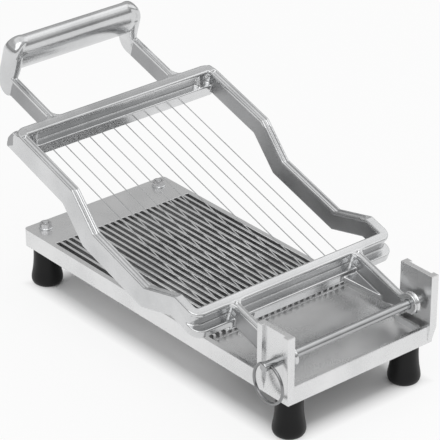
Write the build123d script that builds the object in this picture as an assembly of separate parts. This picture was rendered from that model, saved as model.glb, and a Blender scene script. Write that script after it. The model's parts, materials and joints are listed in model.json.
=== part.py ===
"""Wire butter slicer: a cast base on four rubber feet, a hinged cutting frame
strung with twelve wires, and a pull pin that joins the two.

Millimetres, +X to the right, +Y from the pivot end to the handle end, +Z up.
The origin is under the middle of the whole slicer, on the surface it stands on.
"""
from build123d import *
import math
import os

bite = 1.0              # overrun of a joined piece or of a cut past the face it meets
seat = 0.02             # clearance of parts that are pushed or screwed home

# ---------------------------------------------------------------- wires and slots
wire_count = 12
wire_pitch = 10.0
wire_d = 0.7
wire_room = 0.15        # clearance of a wire in its drilled hole
wire_margin = 5.3       # outermost wire to the outside of the base
slot_pitch = wire_pitch / 2
slot_count = 2 * wire_count - 1
slot_w = 3.0
slot_notch = 3.2        # depth of the slots across the front edge of the deck
slot_back = 31.0        # blind end of the slots to the back of the base

# ---------------------------------------------------------------- base casting
base_w = (wire_count - 1) * wire_pitch + 2 * wire_margin
base_l = 268.0          # pivot end to handle end
base_h = 12.3           # side wall, bottom edge to deck
foot_h = 29.0           # rubber foot below the casting
wall_t = 3.0
deck_t = 4.5
corner_r = 3.0
deck_y = 78.0           # where the deck starts behind the tray
tray_depth = 4.0
tray_floor_t = 3.3
front_beam = 6.0        # solid edge of the deck facing the tray
rib_t = 3.0             # cross ribs under the deck
rib_drop = 3.5
rib_count = 3

# ---------------------------------------------------------------- pivot ears
ear_h = 48.0            # top of the ear above the bottom edge of the casting
ear_l = 28.3
ear_t = 3.8
ear_front = 1.3         # how far the ear stands in front of the front wall
ear_toe = 2.0           # height at which the ear starts to grow out of the wall
ear_taper = 9.0
ear_rib_w = 4.6
rib_proud = 2.0         # ear ribs stand out from the side wall
lug_slot_w = 3.3        # opening beside each ear
lug_slot_l = 19.5
lug_rim_t = 2.4

# ---------------------------------------------------------------- hinge pin and ring
hinge_y = 11.0
hinge_h = 26.8          # pin axis above the bottom edge of the casting
pin_d = 6.0
pin_fit = 0.05          # radial clearance of the pin in its holes
pin_chamfer = 0.8
pin_right = 0.7         # pin ends beyond the side walls
pin_left = 11.3
ring_inset = 4.8        # cross hole from the pulled end
ring_r = 13.0
ring_wire = 2.0
ring_fit = 0.08

# ---------------------------------------------------------------- cutting frame
lift = 17.5             # how far the frame is raised, degrees
frame_out = 22.2        # frame beyond the base on each side
frame_s0 = 52.0         # front edge of the bottom rail, from the pin axis
frame_back = 12.0       # back edge of the top rail to the back of the base
top_n = 0.5             # top of the rails above the pin axis
rail_d = 15.5           # depth of the side rails
web_t = 2.8             # legs, arms and the back of the top rail
rail_web_t = 5.0        # side rails below their flange
flange_w = 6.4          # side rail top flange
flange_t = 2.6
flange_lip = 1.5        # top flange of the bottom rail beyond its web
bottom_rail = 7.0       # top flange of the bottom rail
top_rail = 7.6
rear_in = 4.0           # back face of the top rail, ahead of the flange's back edge
crank_drop = 15.5
crank_s = (73.0, 99.5, 153.5, 180.0)
crank_skew = (-1.0, -1.0, 6.5, 6.0)
frame_r = 8.0
inner_r = 3.0           # least radius of an inner corner
bar_front = 5.0         # front bar stands this far in front of the bottom rail
bar_back = 4.0          # rear bar stands this far in front of the top rail
bar_top = -9.5
wire_n = -17.5          # wire plane below the pin axis
bar_under = 0.8         # bar below the wires
groove_in = 2.2         # groove in the rail tops, from the outside
groove_w = 1.9
groove_t = 0.6
wall_gap = 1.3          # room beside each side wall for the deep part of the front bar
lug_w = 16.5            # rear corner lugs
lug_out = 4.5
lug_top = -9.0

# ---------------------------------------------------------------- legs and handle
arm_gap = 5.9           # middle of a leg to the ear beside it
arm_d = 14.5
arm_flange = 4.7
knuckle_r = 9.5
knuckle_t = 5.4
knuckle_in = 0.6        # underside of a leg meets its knuckle inside the rim
heel_s = 19.0           # where the underside of a leg turns up to its knuckle
brow_s = 8.0            # where the top of a leg turns down to its knuckle
gusset_l = 27.0
gusset_w = 12.0
gusset_t = 3.0
handle_reach = 50.5     # back edge of the top rail to the middle of the grip
post_l = 16.0
post_w = 10.5
post_r = 3.0
post_proud = 0.4        # outer face of a post beyond the flange of its arm
heel_r = 10.0
grip_n = 15.7           # middle of the grip above the rail tops
grip_h = 25.5
handle_r = 11.0

# ---------------------------------------------------------------- wire anchors
ferrule_d = 2.0
ferrule_l = 6.0
ferrule_back = 0.3      # ferrule below the face of the rail
ferrule_grip = 0.5      # blind end of the ferrule
stud_d = 3.0
stud_n = -13.6
stud_bore = 3.5         # how deep the stud sits in the back of the top rail
stud_grip = 2.0         # how far the wire runs into the stud
tension_nut_af = 5.5
tension_nut_h = 2.0
tension_out = 0.4       # stud beyond its nut
tension_room = 0.2      # room beside each flat of the nut

# ---------------------------------------------------------------- feet
foot_inset = 11.8       # foot axis from the outside of the side wall
foot_front_y = 12.0
foot_back_in = 9.0      # rear foot axis from the back of the base
foot_top_r = 8.8
foot_line = ((0.0, 8.6), (1.6, 10.1), (4.0, 10.7), (9.0, 10.0), (15.0, 9.0), (20.0, foot_top_r))
foot_stud_d = 5.0
foot_plate_r = 6.0
foot_plate_t = 2.0
foot_plate_z = 9.0
boss_r = 6.5
blind = 1.5             # metal left over the front studs
stud_short = 0.3        # front studs end below the blind end of their holes
stud_out = 0.4          # rear studs stand out of their nuts
foot_nut_af = 8.0
foot_nut_h = 3.0
washer_r = 5.2
washer_t = 1.0

half_w = base_w / 2
half_frame = half_w + frame_out
frame_s1 = base_l - hinge_y - frame_back
rear_s = frame_s1 - rear_in
handle_s = frame_s1 + handle_reach
slot_end_y = base_l - slot_back
ear_inner = half_w - ear_t
arm_x = ear_inner - arm_gap
foot_x = half_w - foot_inset
foot_back_y = base_l - foot_back_in
deck_z = foot_h + base_h
floor_z = deck_z - tray_depth
hinge_z = foot_h + hinge_h
ring_x = half_w + pin_left - ring_inset
ring_sag = (ring_r - math.sqrt(ring_r**2 - (pin_d / 2) ** 2)) / 2
rail_low = top_n - rail_d
inner_s0 = frame_s0 + bottom_rail
inner_s1 = frame_s1 - top_rail
ferrule_s = inner_s0 - ferrule_l - ferrule_back
stud_s = rear_s - stud_bore
wire_x = [wire_pitch * (i - (wire_count - 1) / 2) for i in range(wire_count)]


def block(x0, x1, y0, y1, z0, z1):
    """Box between two corners."""
    return Pos((x0 + x1) / 2, (y0 + y1) / 2, (z0 + z1) / 2) * Box(x1 - x0, y1 - y0, z1 - z0)


def rod_x(radius, x0, x1, y=0.0, z=0.0):
    """Round bar along X."""
    return Pos((x0 + x1) / 2, y, z) * Rot(0, 90, 0) * Cylinder(radius, x1 - x0)


def rod_y(radius, y0, y1, x=0.0, z=0.0):
    """Round bar along Y."""
    return Pos(x, (y0 + y1) / 2, z) * Rot(90, 0, 0) * Cylinder(radius, y1 - y0)


def rod_z(radius, z0, z1, x=0.0, y=0.0):
    """Upright round bar."""
    return Pos(x, y, (z0 + z1) / 2) * Cylinder(radius, z1 - z0)


def slab(x0, x1, y0, y1, z0, z1, radius):
    """Flat block with rounded upright corners."""
    face = RectangleRounded(x1 - x0, y1 - y0, radius)
    return extrude(Pos((x0 + x1) / 2, (y0 + y1) / 2, z0) * face, amount=z1 - z0)


def side_plate(points, x0, x1):
    """Outline of (y, z) points, extruded between two X positions."""
    face = make_face(Polyline(*[(x0, y, z) for y, z in points], close=True))
    return extrude(face, amount=x1 - x0, dir=(1, 0, 0))


def both_sides(piece):
    """The piece and its mirror image across the middle plane."""
    return piece + mirror(piece, about=Plane.YZ)


# ---------------------------------------------------------------- base
def pivot_ear():
    """Right pivot ear: a plate with two ribs, all fading into the wall low down."""
    y0 = -ear_front
    y1 = y0 + ear_l
    toe = foot_h + ear_toe
    top = foot_h + ear_h
    outer = half_w + rib_proud
    outline = [(0, foot_h), (y1, foot_h), (y1, top), (y0, top), (y0, toe + ear_taper), (0, toe)]
    profile = [
        (half_w - bite, toe),
        (half_w, toe),
        (outer, toe + ear_taper),
        (outer, top),
        (half_w - bite, top),
    ]
    rib = make_face(Polyline(*[(x, 0, z) for x, z in profile], close=True))
    ribs = Part()
    for start in (y0, y1 - ear_rib_w):
        ribs += Pos(0, start, 0) * extrude(rib, amount=ear_rib_w, dir=(0, 1, 0))
    return side_plate(outline, ear_inner, half_w) + (ribs & side_plate(outline, ear_inner, outer))


def deck_slots():
    """Slots through the deck, shallow where they cross its front beam."""
    start = deck_y + front_beam
    slots = Part()
    for i in range(slot_count):
        x0 = slot_pitch * (i - (slot_count - 1) / 2) - slot_w / 2
        x1 = x0 + slot_w
        slots += block(x0, x1, start, slot_end_y, deck_z - deck_t, deck_z + bite)
        slots += block(x0, x1, deck_y - bite, start, deck_z - slot_notch, deck_z + bite)
    return slots


def lug_rim():
    """Raised rim round the opening beside the right ear."""
    x1 = ear_inner - lug_slot_w
    x0 = x1 - lug_rim_t
    y0 = wall_t + lug_slot_l
    y1 = y0 + lug_rim_t
    low = floor_z - tray_floor_t
    return block(x0, x1, wall_t, y1, low, deck_z) + block(x0, half_w - wall_t, y0, y1, low, deck_z)


def base_casting():
    """Deck, tray, skirts, ears, ribs and bosses in one casting."""
    inner = half_w - wall_t
    under = deck_z - deck_t
    tray_under = floor_z - tray_floor_t
    slot_start = deck_y + front_beam
    body = slab(-half_w, half_w, 0, base_l, foot_h, deck_z, corner_r)
    body -= block(-inner, inner, slot_start, base_l - wall_t, foot_h - bite, under)
    body -= block(-inner, inner, wall_t, slot_start, foot_h - bite, tray_under)
    body -= block(-inner, inner, wall_t, deck_y, floor_z, deck_z + bite)
    for i in range(1, rib_count + 1):
        y = slot_start + (slot_end_y - slot_start) * i / (rib_count + 1)
        body += block(-inner, inner, y - rib_t / 2, y + rib_t / 2, under - rib_drop, under)
    body -= deck_slots()

    body += both_sides(lug_rim())
    for x in (-foot_x, foot_x):
        body += rod_z(boss_r, foot_h, tray_under, x, foot_front_y)
        body += rod_z(boss_r, foot_h, under, x, foot_back_y)
    opening_x = ear_inner - lug_slot_w
    opening = block(opening_x, ear_inner, wall_t, wall_t + lug_slot_l, foot_h - bite, deck_z + bite)
    body -= both_sides(opening)
    body += both_sides(pivot_ear())

    hole = foot_stud_d / 2 + seat
    for x in (-foot_x, foot_x):
        body -= rod_z(hole, foot_h - bite, floor_z - blind, x, foot_front_y)
        body -= rod_z(hole, foot_h - bite, deck_z + bite, x, foot_back_y)
    reach = half_w + rib_proud + bite
    return body - rod_x(pin_d / 2 + pin_fit, -reach, reach, hinge_y, hinge_z)


# ---------------------------------------------------------------- feet
def foot_stud(tip_z):
    """Threaded stud with a plate that the rubber is moulded round."""
    stud = rod_z(foot_stud_d / 2, foot_plate_z, tip_z)
    return stud + rod_z(foot_plate_r, foot_plate_z, foot_plate_z + foot_plate_t)


def rubber_foot():
    """Waisted foot, round at the bottom edge."""
    line = [(0.0, 0.0), *foot_line, (foot_h, foot_top_r), (foot_h, 0.0)]
    outline = make_face(Polyline(*[(r, 0, z) for z, r in line], close=True))
    return revolve(outline, axis=Axis.Z)


def foot_washer():
    """Plain washer on the deck."""
    hole = rod_z(foot_stud_d / 2 + seat, deck_z - bite, deck_z + washer_t + bite)
    return rod_z(washer_r, deck_z, deck_z + washer_t) - hole


def hex_nut(across_flats, height, bore):
    """Plain hexagon nut standing on its face."""
    nut = extrude(RegularPolygon(across_flats / 2, 6, major_radius=False), amount=height)
    return nut - rod_z(bore, -bite, height + bite)


def foot_pieces():
    """Feet, studs, washers and nuts, each in its place."""
    front_tip = floor_z - blind - stud_short
    back_tip = deck_z + washer_t + foot_nut_h + stud_out
    places = {
        "front_left": (-foot_x, foot_front_y, front_tip),
        "front_right": (foot_x, foot_front_y, front_tip),
        "rear_left": (-foot_x, foot_back_y, back_tip),
        "rear_right": (foot_x, foot_back_y, back_tip),
    }
    pieces = {}
    for name, (x, y, tip) in places.items():
        stud = foot_stud(tip)
        pieces[f"foot_{name}"] = Pos(x, y, 0) * (rubber_foot() - stud)
        pieces[f"foot_stud_{name}"] = Pos(x, y, 0) * stud
    nut = Pos(0, 0, deck_z + washer_t) * hex_nut(foot_nut_af, foot_nut_h, foot_stud_d / 2 + seat)
    spots = [Pos(x, foot_back_y, 0) for x in (-foot_x, foot_x)]
    pieces["foot_washers"] = Compound([spot * foot_washer() for spot in spots])
    pieces["foot_nuts"] = Compound([spot * nut for spot in spots])
    return pieces


# ---------------------------------------------------------------- pin and ring
def hinge_pin():
    """Straight pin with a cross hole near the pulled end."""
    pin = rod_x(pin_d / 2, -half_w - pin_left, half_w + pin_right, hinge_y, hinge_z)
    pin = chamfer(pin.edges().filter_by(GeomType.CIRCLE), pin_chamfer)
    hole_r = ring_wire / 2 + ring_sag + ring_fit
    return pin - rod_y(hole_r, hinge_y - pin_d, hinge_y + pin_d, -ring_x, hinge_z)


def pull_ring():
    """Ring hanging through the cross hole of the pin."""
    ring = Rot(0, 90, 0) * Torus(ring_r, ring_wire / 2)
    return Pos(-ring_x, hinge_y, hinge_z + ring_sag - ring_r) * ring


# ---------------------------------------------------------------- frame, flat, pivot at zero
def rail_top(sunk=0.0):
    """Top line of the side rails as (s, n) points, or a line below it."""
    a, b, c, d = crank_s
    n = top_n - sunk
    low = n - crank_drop
    return [(0.0, n), (a, n), (b, low), (c, low), (d, n), (frame_s1 + frame_r, n)]


def rail_bottom():
    """Bottom line of the side rails as (s, n) points."""
    skew = (0.0,) + crank_skew + (0.0,)
    return [(s + move, n) for (s, n), move in zip(rail_top(rail_d), skew)]


def band(upper, lower):
    """Solid between two cranked lines, wider than the frame."""
    return side_plate(upper + lower[::-1], -2 * half_frame, 2 * half_frame)


def loop(outer, s0, s1, radius, sides, front, back):
    """Tall rectangular ring with rounded corners and its own width on each side."""
    tall = 4 * rail_d
    inside = max(radius - sides, inner_r)
    half = outer - sides
    hole = slab(-half, half, s0 + front, s1 - back, -tall - bite, tall + bite, inside)
    return slab(-outer, outer, s0, s1, -tall, tall, radius) - hole


def wire_bars():
    """Thick lower bars of the end rails, which carry the wires."""
    low = wire_n - bar_under
    front_s = frame_s0 - bar_front
    back_s = inner_s1 - bar_back
    deep_x = half_w - wall_t - wall_gap
    plan = slab(-half_frame, half_frame, front_s, frame_s1, rail_low, bar_top, frame_r)
    bars = plan & block(-half_frame, half_frame, front_s, inner_s0, rail_low, bar_top)
    bars += block(-deep_x, deep_x, front_s, inner_s0, low, bar_top)
    return bars + block(web_t - half_frame, half_frame - web_t, back_s, rear_s, low, bar_top)


def corner_lug():
    """Right rear corner of the frame, standing out behind the flange."""
    end = frame_s1 + lug_out
    roof = top_n - flange_t / 2
    start = rear_s - bite
    outline = [(start, roof), (frame_s1, roof), (end, lug_top), (end, rail_low), (start, rail_low)]
    plan = slab(-half_frame, half_frame, frame_s0, end, rail_low - bite, top_n, frame_r)
    return side_plate(outline, half_frame - lug_w, half_frame) & plan


def rails():
    """Cranked side rails, end rails, wire bars and corner lugs."""
    flange = loop(half_frame, frame_s0, frame_s1, frame_r, flange_w, bottom_rail, top_rail)
    web_s0 = frame_s0 + flange_lip
    web_back = rear_s - inner_s1 - web_t / 2
    web = loop(half_frame, web_s0, rear_s, frame_r, rail_web_t, inner_s0 - web_s0, web_back)
    ring = flange & band(rail_top(), rail_top(flange_t))
    ring += web & band(rail_top(flange_t / 2), rail_bottom())
    ring += wire_bars() + both_sides(corner_lug())
    groove_x = half_frame - groove_in
    groove_s0 = frame_s0 + groove_in
    groove_s1 = frame_s1 - groove_in
    front = bottom_rail - 2 * groove_in
    groove = loop(groove_x, groove_s0, groove_s1, frame_r - groove_in, groove_w, front, groove_w)
    return ring - (groove & band(rail_top(-rail_d), rail_top(groove_t)))


def leg():
    """Right leg: flanged web, knuckle round the pin and a gusset to the wire bar."""
    end = frame_s0 + bottom_rail / 2
    web = [
        (end, rail_low),
        (heel_s, rail_low),
        (web_t, knuckle_in - knuckle_r),
        (0.0, 0.0),
        (brow_s, top_n),
        (end, top_n),
    ]
    piece = side_plate(web, arm_x - web_t / 2, arm_x + web_t / 2)
    flange = (arm_x - arm_flange / 2, arm_x + arm_flange / 2)
    piece += block(*flange, brow_s, end, top_n - flange_t, top_n)
    piece += rod_x(knuckle_r, arm_x - knuckle_t / 2, arm_x + knuckle_t / 2)
    side = arm_x - web_t / 2 + bite / 2
    back = frame_s0 - bar_front + bite / 2
    corners = ((side, back), (side, back - gusset_l), (side - gusset_w, back))
    gusset = make_face(Polyline(*corners, close=True))
    piece += extrude(Pos(0, 0, rail_low - gusset_t / 2) * gusset, amount=gusset_t)
    return piece - rod_x(pin_d / 2 + pin_fit, arm_x - knuckle_t, arm_x + knuckle_t)


def handle_yoke():
    """Two posts and the oval grip across them."""
    s0 = handle_s - post_l / 2
    s1 = handle_s + post_l / 2
    low = top_n - arm_d
    mid = top_n + grip_n
    high = mid + grip_h / 2
    outer = arm_x + arm_flange / 2 + post_proud
    inner = outer - post_w
    plate = block(-outer, outer, s0, s1, low, high)
    plate = fillet(plate.edges().filter_by(Axis.Y).group_by(Axis.Z)[-1], handle_r)
    plate -= block(-inner, inner, s0 - bite, s1 + bite, low - bite, mid)
    plate = fillet(plate.faces().filter_by(Axis.Y).edges(), post_r)
    oval = Plane.YZ * (Pos(handle_s, mid) * Ellipse(post_l / 2, grip_h / 2))
    grip = extrude(oval, amount=outer + bite, both=True)
    posts = block(-outer - bite, outer + bite, s0, s1, low, mid)
    heel = posts.edges().filter_by(Axis.X).group_by(Axis.Z)[0].sort_by(Axis.Y)[-1]
    posts = fillet(heel, heel_r)
    between = block(-inner - bite, inner + bite, s0 - bite, s1 + bite, low, high + bite)
    return (plate & (grip + posts)) + (grip & between)


def handle():
    """Two flanged arms behind the top rail, and the yoke they carry."""
    start = rear_s - bite
    end = handle_s - post_l / 2 + post_r
    arm = block(arm_x - web_t / 2, arm_x + web_t / 2, start, end, top_n - arm_d, top_n)
    arm += block(arm_x - arm_flange / 2, arm_x + arm_flange / 2, start, end, top_n - flange_t, top_n)
    return both_sides(arm) + handle_yoke()


def wire_path():
    """Points (s, n) of one wire from its ferrule to its tension stud."""
    return [
        (ferrule_s + ferrule_grip, wire_n),
        (inner_s1 - bar_back + wire_d, wire_n),
        (stud_s - bite, stud_n),
        (stud_s + stud_grip, stud_n),
    ]


def wire_solid(diameter):
    """Round bar along the path of a wire."""
    path = wire_path()
    piece = Part()
    for (s0, n0), (s1, n1) in zip(path, path[1:]):
        length = math.hypot(s1 - s0, n1 - n0)
        tilt = math.degrees(math.atan2(n1 - n0, s1 - s0))
        piece += Pos(0, s0, n0) * Rot(tilt, 0, 0) * rod_y(diameter / 2, 0, length)
        piece += Pos(0, s1, n1) * Sphere(diameter / 2)
    return piece


def tension_hex(across_flats, length):
    """Hexagon bar on the back of the top rail, flats to the sides."""
    bar = extrude(RegularPolygon(across_flats / 2, 6, major_radius=False), amount=length)
    return Pos(0, rear_s, stud_n) * Rot(-90, 0, 0) * Rot(0, 0, 30) * bar


def frame_casting():
    """The whole cutting frame with its drilled holes."""
    body = rails() + both_sides(leg()) + handle()
    drill = wire_solid(wire_d + 2 * wire_room)
    drill += rod_y(ferrule_d / 2 + seat, ferrule_s, inner_s0 + bite, 0, wire_n)
    drill += rod_y(stud_d / 2 + seat, stud_s, rear_s + bite, 0, stud_n)
    room_l = tension_nut_h + tension_out + bite
    drill += tension_hex(tension_nut_af + 2 * tension_room, room_l)
    holes = Part()
    for x in wire_x:
        holes += Pos(x, 0, 0) * drill
    return body - holes


def ferrule():
    """Steel sleeve crimped on the front end of a wire."""
    end = ferrule_s + ferrule_l
    sleeve = rod_y(ferrule_d / 2, ferrule_s, end, 0, wire_n)
    return sleeve - rod_y(wire_d / 2 + seat, ferrule_s + ferrule_grip - seat, end + bite, 0, wire_n)


def tension_stud():
    """Threaded stud that holds the end of one wire."""
    socket = rod_y(wire_d / 2 + seat, stud_s - bite, stud_s + stud_grip, 0, stud_n)
    socket += Pos(0, stud_s + stud_grip, stud_n) * Sphere(wire_d / 2 + seat)
    return rod_y(stud_d / 2, stud_s, rear_s + tension_nut_h + tension_out, 0, stud_n) - socket


def tension_nut():
    """Nut that draws one tension stud back."""
    hole = rod_y(stud_d / 2 + seat, rear_s - bite, rear_s + tension_nut_h + bite, 0, stud_n)
    return tension_hex(tension_nut_af, tension_nut_h) - hole


def frame_pieces():
    """Frame, wires and their anchors in the raised position."""
    raised = Pos(0, hinge_y, hinge_z) * Rot(lift, 0, 0)
    spots = [raised * Pos(x, 0, 0) for x in wire_x]
    pieces = {"frame_casting": raised * frame_casting()}
    wire = wire_solid(wire_d)
    for i, spot in enumerate(spots):
        pieces[f"wire_{i + 1:02d}"] = spot * wire
    anchors = {
        "wire_ferrules": ferrule(),
        "tension_studs": tension_stud(),
        "tension_nuts": tension_nut(),
    }
    for name, piece in anchors.items():
        pieces[name] = Compound([spot * piece for spot in spots])
    return pieces


parts = {"base_casting": base_casting(), "hinge_pin": hinge_pin(), "pull_ring": pull_ring()}
parts |= foot_pieces() | frame_pieces()
whole = Compound(list(parts.values())).bounding_box()
middle = Pos(-(whole.min.X + whole.max.X) / 2, -(whole.min.Y + whole.max.Y) / 2, -whole.min.Z)
os.makedirs("parts", exist_ok=True)
for node, shape in parts.items():
    export_step(middle * shape, f"parts/{node}.step")
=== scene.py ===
"""Looks of a wire butter slicer: a cast base on rubber feet and a hinged, cranked
frame strung with twelve wires, with a pull pin and ring at the hinge.

Sizes in the classes are millimetres. The frame's pieces are drawn flat, as (x, s, n):
x across, s along the frame from its pivot, n square to it, and are then raised.
"""
import json
import logging
import math
from dataclasses import dataclass
from enum import Enum, IntEnum
from typing import Iterable, Sequence

import bmesh
import bpy
from bmesh.types import BMEdge, BMesh, BMVert
from bpy.types import Mesh, MeshPolygon, Node, NodeSocket, NodeTree
from mathutils import Matrix, Vector


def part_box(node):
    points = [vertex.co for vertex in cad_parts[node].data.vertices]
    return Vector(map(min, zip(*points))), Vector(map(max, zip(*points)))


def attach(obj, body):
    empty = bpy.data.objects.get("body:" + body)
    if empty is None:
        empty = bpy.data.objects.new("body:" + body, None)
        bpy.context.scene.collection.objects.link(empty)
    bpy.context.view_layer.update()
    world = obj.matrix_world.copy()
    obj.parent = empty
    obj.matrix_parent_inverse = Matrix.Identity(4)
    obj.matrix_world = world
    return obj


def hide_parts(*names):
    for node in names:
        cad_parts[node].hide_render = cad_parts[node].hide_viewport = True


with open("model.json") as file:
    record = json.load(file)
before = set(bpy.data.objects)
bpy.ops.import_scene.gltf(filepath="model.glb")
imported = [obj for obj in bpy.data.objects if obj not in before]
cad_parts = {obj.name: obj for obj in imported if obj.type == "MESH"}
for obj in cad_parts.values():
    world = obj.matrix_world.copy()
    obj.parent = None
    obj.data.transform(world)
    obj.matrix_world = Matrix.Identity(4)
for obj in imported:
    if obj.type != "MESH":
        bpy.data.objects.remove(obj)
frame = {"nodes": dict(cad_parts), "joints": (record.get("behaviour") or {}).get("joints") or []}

MM = 0.001  # a millimetre in metres
NEAR = 0.001  # two points this close are one, in the mesh's own unit
QUARTER = math.pi / 2
TO_METRES = Matrix.Scale(MM, 4)
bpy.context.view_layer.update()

Point = tuple[float, float]
Triple = tuple[float, float, float]
Line = tuple[Point, ...]


class Slot(Enum):
    """The record's material slots."""

    CASTING = "cast_aluminium"
    RUBBER = "black_rubber"
    ZINC = "zinc_steel"
    BRIGHT = "bright_steel"
    WIRE = "stainless_wire"


class Side(IntEnum):
    """The two sides of the slicer, as signs."""

    LEFT = -1
    RIGHT = 1


# ---- finishes
def link(tree: NodeTree, kind: str, **values: object) -> Node:
    """Adds a node and sets its inputs.

    Args:
        tree: The node tree that takes the node.
        kind: The node's type name.
        values: Input names, spaces as underscores, with a number, a colour or a socket.

    Returns:
        The new node.
    """
    node = tree.nodes.new(kind)
    for name, value in values.items():
        feed(tree, node.inputs[name.replace("_", " ")], value)
    return node


def feed(tree: NodeTree, socket: NodeSocket, value: object) -> None:
    """Links a socket to an input, or sets the input to a constant."""
    if isinstance(value, NodeSocket):
        tree.links.new(value, socket)
    else:
        socket.default_value = value


def maths(tree: NodeTree, operation: str, *values: float | NodeSocket) -> NodeSocket:
    """One step of arithmetic on sockets and numbers."""
    node = tree.nodes.new("ShaderNodeMath")
    node.operation = operation
    for socket, value in zip(node.inputs, values):
        feed(tree, socket, value)
    return node.outputs[0]


def ramp(tree: NodeTree, factor: NodeSocket, band: Point, results: Point) -> NodeSocket:
    """Maps the two ends of a band of a pattern to two results, which are also the limits."""
    return link(tree, "ShaderNodeMapRange", Value=factor, From_Min=band[0], From_Max=band[1],
                To_Min=results[0], To_Max=results[1]).outputs["Result"]


@dataclass(frozen=True)
class Finish:
    """A surface finish between two tones and two roughnesses."""

    name: str
    dark: Triple
    light: Triple
    rough: Point

    def material(self) -> bpy.types.Material:
        """Builds the finish once and gives it again when it is asked for."""
        found = bpy.data.materials.get(self.name)
        if found:
            return found
        made = bpy.data.materials.new(self.name)
        made.use_nodes = True
        self.paint(made.node_tree, made.node_tree.nodes["Principled BSDF"])
        return made

    def paint(self, tree: NodeTree, shader: Node) -> None:
        """Adds the finish's own nodes."""
        raise NotImplementedError

    def noise(self, tree: NodeTree, scale: float, detail: float,
              stretch: Triple = (1.0, 1.0, 1.0)) -> NodeSocket:
        """Noise fixed to the piece, with its own stretch on each axis."""
        place = tree.nodes.new("ShaderNodeTexCoord").outputs["Object"]
        place = link(tree, "ShaderNodeMapping", Vector=place, Scale=stretch).outputs[0]
        noise = link(tree, "ShaderNodeTexNoise", Vector=place, Scale=scale, Detail=detail)
        return noise.outputs["Fac"]

    def tone(self, tree: NodeTree, shader: Node, pattern: NodeSocket, band: Point) -> None:
        """Colours and roughens the surface by a pattern, over a band of its values."""
        mix = tree.nodes.new("ShaderNodeMix")
        mix.data_type = "RGBA"
        feed(tree, mix.inputs["Factor"], pattern)
        mix.inputs["A"].default_value = (*self.dark, 1.0)
        mix.inputs["B"].default_value = (*self.light, 1.0)
        feed(tree, shader.inputs["Base Color"], mix.outputs["Result"])
        feed(tree, shader.inputs["Roughness"], ramp(tree, pattern, band, self.rough))

    def texture(self, tree: NodeTree, shader: Node, grain: NodeSocket, strength: float,
                depth: float) -> None:
        """Raises a fine grain on the surface."""
        bump = link(tree, "ShaderNodeBump", Height=grain, Strength=strength, Distance=depth)
        feed(tree, shader.inputs["Normal"], bump.outputs["Normal"])


@dataclass(frozen=True)
class Metal(Finish):
    """A metal finish with grain, cloudy patches and fine pits."""

    cloud: float = 28.0
    cloud_band: Point = (0.35, 0.65)
    cloud_share: float = 0.4
    grain: float = 1500.0
    grain_share: float = 0.6
    stretch: Triple = (1.0, 1.0, 1.0)
    band: Point = (0.2, 0.8)
    pit: float = 0.12
    pit_depth: float = 0.00012

    def paint(self, tree: NodeTree, shader: Node) -> None:
        """Adds the clouds, the grain and the pits."""
        grain = self.noise(tree, self.grain, 2.0, self.stretch)
        clouds = self.noise(tree, self.cloud, 3.0)
        clouds = ramp(tree, clouds, self.cloud_band, (0.0, self.cloud_share))
        both = maths(tree, "MULTIPLY_ADD", grain, self.grain_share, clouds)
        self.tone(tree, shader, both, self.band)
        self.texture(tree, shader, grain, self.pit, self.pit_depth)
        shader.inputs["Metallic"].default_value = 1.0


@dataclass(frozen=True)
class Rubber(Finish):
    """Moulded rubber with a faint bloom and a fine matt texture."""

    name: str = "moulded_rubber"
    dark: Triple = (0.003, 0.003, 0.0033)
    light: Triple = (0.009, 0.009, 0.0095)
    rough: Point = (0.34, 0.48)
    bloom: float = 90.0
    band: Point = (0.3, 0.7)
    grain: float = 2600.0
    bump: float = 0.25
    bump_depth: float = 0.0001
    gloss: float = 0.25

    def paint(self, tree: NodeTree, shader: Node) -> None:
        """Adds the bloom and the texture."""
        self.tone(tree, shader, self.noise(tree, self.bloom, 4.0), self.band)
        self.texture(tree, shader, self.noise(tree, self.grain, 2.0), self.bump, self.bump_depth)
        shader.inputs["Specular IOR Level"].default_value = self.gloss


CAST_BASE = Metal("tumbled_casting", (0.62, 0.625, 0.63), (0.88, 0.88, 0.88), (0.22, 0.36))
# Rough casting, its darker tone painted shade for the underside and the walls of the slots
SHADED_UNDER_CASTING = Metal("rough_casting", (0.20, 0.202, 0.205), (0.40, 0.402, 0.405), (0.50, 0.66),
                   pit=0.3)
CAST_FRAME = Metal("polished_casting", (0.50, 0.505, 0.51), (0.78, 0.785, 0.79), (0.14, 0.24),
                   pit=0.03)
# Darker, rougher copy of the frame casting: painted shade on the webs under the flanges
PAINTED_SHADE_WEB = Metal("painted_shade_casting", (0.26, 0.263, 0.268), (0.52, 0.523, 0.528), (0.34, 0.50),
                 pit=0.2)
ZINC = Metal("zinc_plate", (0.62, 0.63, 0.64), (0.86, 0.865, 0.87), (0.22, 0.34), pit=0.04)
NICKEL = Metal("nickel_plate", (0.40, 0.40, 0.405), (0.60, 0.60, 0.605), (0.10, 0.20), pit=0.02)
BRIGHT = Metal("ground_steel", (0.34, 0.345, 0.35), (0.56, 0.565, 0.57), (0.10, 0.22),
               stretch=(0.05, 1.0, 1.0), pit=0.03)
SPRING = Metal("spring_steel", (0.20, 0.203, 0.207), (0.36, 0.363, 0.367), (0.14, 0.26), pit=0.02)
DRAWN = Metal("drawn_wire", (0.44, 0.445, 0.45), (0.66, 0.665, 0.67), (0.20, 0.32),
              stretch=(1.0, 0.05, 0.3), pit=0.02)
RUBBER = Rubber()


# ---- mesh work
def kinds(geometry: Iterable[object], kind: type) -> list:
    """The members of a bmesh result that are of one kind."""
    return [item for item in geometry if isinstance(item, kind)]


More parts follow.
